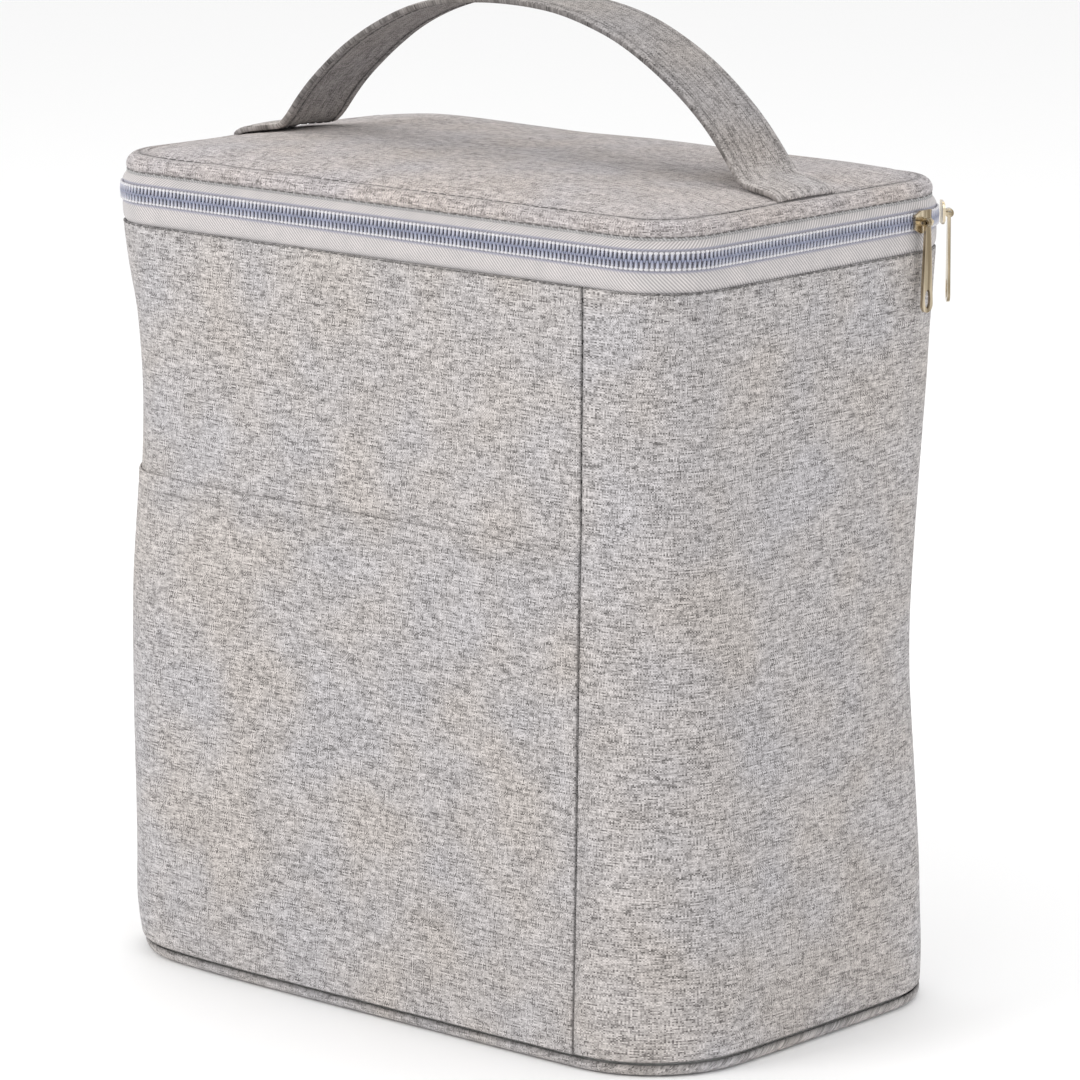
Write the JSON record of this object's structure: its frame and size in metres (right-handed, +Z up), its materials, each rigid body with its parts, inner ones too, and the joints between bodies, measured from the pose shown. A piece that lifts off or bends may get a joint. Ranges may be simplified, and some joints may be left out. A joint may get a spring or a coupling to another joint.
{
  "type": "insulated cooler bag",
  "caption": "Soft upright insulated bag with a zip-around lid hinged along the back, a front slip pocket and a strap handle on the lid.",
  "frame": {"origin": "middle of the bag's bounding box at the flat underside of the base, where it stands", "axes": "+X to the bag's right, +Y from the pocket side to the hinged back, +Z up"},
  "size_m": [0.2492, 0.151, 0.3134],
  "materials": {
    "base_panel": "woven melange cloth",
    "front_panel": "woven melange cloth",
    "back_panel": "woven melange cloth",
    "left_side_panel": "woven melange cloth",
    "right_side_panel": "woven melange cloth",
    "front_pocket": "woven melange cloth",
    "front_foam": "closed-cell foam sheet",
    "back_foam": "closed-cell foam sheet",
    "left_foam": "closed-cell foam sheet",
    "right_foam": "closed-cell foam sheet",
    "base_foam": "closed-cell foam sheet",
    "liner": "silver-coated film",
    "mouth_binding": "woven binding tape",
    "body_zip_tape": "twill zip tape",
    "body_zip_coil": "satin nylon coil",
    "zip_stop_left": "plated",
    "zip_stop_right": "plated",
    "back_hinge_strip": "woven melange cloth",
    "lid_top_panel": "woven melange cloth",
    "lid_welt": "cloth-covered piping",
    "lid_zip_tape": "twill zip tape",
    "lid_zip_coil": "satin nylon coil",
    "lid_foam": "closed-cell foam sheet",
    "lid_liner": "silver-coated film",
    "lid_binding": "woven binding tape",
    "handle_end_left": "woven melange cloth",
    "handle_end_right": "woven melange cloth",
    "handle_root_left": "woven melange cloth",
    "handle_root_right": "woven melange cloth",
    "handle_strap": "woven melange cloth",
    "slider_a": "plated",
    "slider_b": "plated",
    "pull_a": "plated",
    "pull_b": "plated"
  },
  "bodies": {
    "bag": {"base_panel": "base_panel", "front_panel": "front_panel", "back_panel": "back_panel", "left_side_panel": "left_side_panel", "right_side_panel": "right_side_panel", "front_pocket": "front_pocket", "front_foam": "front_foam", "back_foam": "back_foam", "left_foam": "left_foam", "right_foam": "right_foam", "base_foam": "base_foam", "liner": "liner", "mouth_binding": "mouth_binding", "body_zip_tape": "body_zip_tape", "body_zip_coil": "body_zip_coil", "zip_stop_left": "zip_stop_left", "zip_stop_right": "zip_stop_right", "back_hinge_strip": "back_hinge_strip"},
    "lid": {"lid_top_panel": "lid_top_panel", "lid_welt": "lid_welt", "lid_zip_tape": "lid_zip_tape", "lid_zip_coil": "lid_zip_coil", "lid_foam": "lid_foam", "lid_liner": "lid_liner", "lid_binding": "lid_binding", "handle_end_left": "handle_end_left", "handle_end_right": "handle_end_right", "handle_root_left": "handle_root_left", "handle_root_right": "handle_root_right"},
    "handle": {"handle_strap": "handle_strap"},
    "slider_a": {"slider_a": "slider_a"},
    "slider_b": {"slider_b": "slider_b"},
    "pull_a": {"pull_a": "pull_a"},
    "pull_b": {"pull_b": "pull_b"}
  },
  "joints": [
    {"name": "lid_hinge", "type": "hinge", "parent": "bag", "child": "lid", "pos_m": [0, 0.0725, 0.25], "axis": [-1, 0, 0], "range_deg": [0, 110], "deforming": ["back_hinge_strip"]},
    {"name": "handle_lean", "type": "hinge", "parent": "lid", "child": "handle", "pos_m": [0, 0, 0.26784], "axis": [1, 0, 0], "range_deg": [-50, 50], "stiffness_Nm_per_rad": 0.05, "deforming": ["handle_root_left", "handle_root_right"]},
    {"name": "slider_a_slide", "type": "slide", "parent": "bag", "child": "slider_a", "axis": [0, -1, 0], "range_m": [0, 0.092]},
    {"name": "slider_b_travel", "type": "hinge", "parent": "bag", "child": "slider_b", "pos_m": [0.098, 0.0495, 0.25], "axis": [0, 0, 1], "range_deg": [-16, 4]},
    {"name": "pull_a_swing", "type": "hinge", "parent": "slider_a", "child": "pull_a", "pos_m": [0.1238, 0.047, 0.25], "axis": [0, -1, 0], "range_deg": [0, 160]},
    {"name": "pull_b_swing", "type": "hinge", "parent": "slider_b", "child": "pull_b", "pos_m": [0.11624, 0.06774, 0.25], "axis": [0.7071, -0.7071, 0], "range_deg": [0, 160]}
  ]
}
